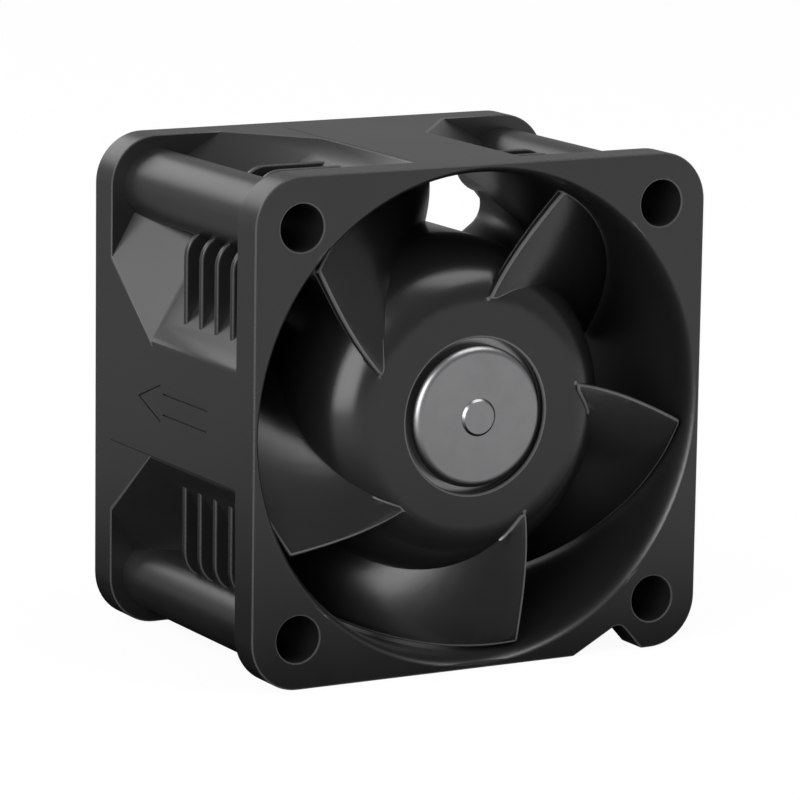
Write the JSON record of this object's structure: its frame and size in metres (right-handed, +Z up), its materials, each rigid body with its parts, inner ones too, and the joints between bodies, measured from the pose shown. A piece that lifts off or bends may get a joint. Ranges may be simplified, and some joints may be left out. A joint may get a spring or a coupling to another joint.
{
  "type": "cooling fan",
  "caption": "Square axial cooling fan with two flanges, corner posts, a five-bladed rotor on ball bearings and guide vanes at the outlet.",
  "frame": {"origin": "on the rotor axis, halfway between the inlet face and the outlet face", "axes": "+Y along the rotor axis, the way the air goes; +Z up; +X to the right seen from the inlet"},
  "size_m": [0.04, 0.028, 0.04],
  "materials": {
    "housing_plastic": "black glass-filled moulding, satin",
    "impeller_plastic": "black moulding, semi-gloss",
    "cup_steel": "turned and plated, satin",
    "shaft_steel": "ground",
    "magnet": "bonded magnet, dark",
    "spring_steel": "pressed",
    "tube_brass": "turned",
    "plug_rubber": "matte",
    "core_steel": "stamped laminations",
    "insulator_plastic": "natural nylon",
    "circuit_board": "green solder mask",
    "chip_plastic": "moulded package",
    "pin_brass": "plated",
    "coil_wire": "enamelled copper wire",
    "ceramic_chip": "ceramic",
    "resistor": "ceramic with a dark face",
    "bearing_steel": "ground and polished",
    "shield_steel": "pressed",
    "cage_steel": "pressed"
  },
  "bodies": {
    "frame": {"bearing_tube": "tube_brass", "capacitor_1": "ceramic_chip", "capacitor_2": "ceramic_chip", "circuit_board": "circuit_board", "coil_1": "coil_wire", "coil_2": "coil_wire", "coil_3": "coil_wire", "coil_4": "coil_wire", "coil_5": "coil_wire", "coil_6": "coil_wire", "driver_chip": "chip_plastic", "front_bearing_front_shield": "shield_steel", "front_bearing_outer_ring": "bearing_steel", "front_bearing_rear_shield": "shield_steel", "front_insulator": "insulator_plastic", "housing": "housing_plastic", "position_sensor": "chip_plastic", "preload_spring": "spring_steel", "rear_bearing_front_shield": "shield_steel", "rear_bearing_outer_ring": "bearing_steel", "rear_bearing_rear_shield": "shield_steel", "rear_insulator": "insulator_plastic", "rear_plug": "plug_rubber", "resistor_1": "resistor", "resistor_2": "resistor", "resistor_3": "resistor", "stator_core": "core_steel", "terminal_pin_1": "pin_brass", "terminal_pin_2": "pin_brass", "terminal_pin_3": "pin_brass"},
    "rotor": {"impeller": "impeller_plastic", "rotor_cup": "cup_steel", "magnet_ring": "magnet", "shaft": "shaft_steel", "retaining_ring": "spring_steel", "front_bearing_inner_ring": "bearing_steel", "rear_bearing_inner_ring": "bearing_steel"},
    "front_bearing_ball_set": {"front_bearing_cage": "cage_steel", "front_bearing_balls": "bearing_steel"},
    "rear_bearing_ball_set": {"rear_bearing_cage": "cage_steel", "rear_bearing_balls": "bearing_steel"}
  },
  "joints": [
    {"name": "impeller_spin", "type": "hinge", "parent": "frame", "child": "rotor", "pos_m": [0, 0, 0], "axis": [0, -1, 0], "continuous": true},
    {"name": "front_ball_set_spin", "type": "hinge", "parent": "frame", "child": "front_bearing_ball_set", "pos_m": [0, 0, 0], "axis": [0, -1, 0], "continuous": true},
    {"name": "rear_ball_set_spin", "type": "hinge", "parent": "frame", "child": "rear_bearing_ball_set", "pos_m": [0, 0, 0], "axis": [0, -1, 0], "continuous": true}
  ],
  "couplings": [
    {"joint": "front_ball_set_spin", "follows": "impeller_spin", "ratio": 0.3727},
    {"joint": "rear_ball_set_spin", "follows": "impeller_spin", "ratio": 0.3727}
  ]
}
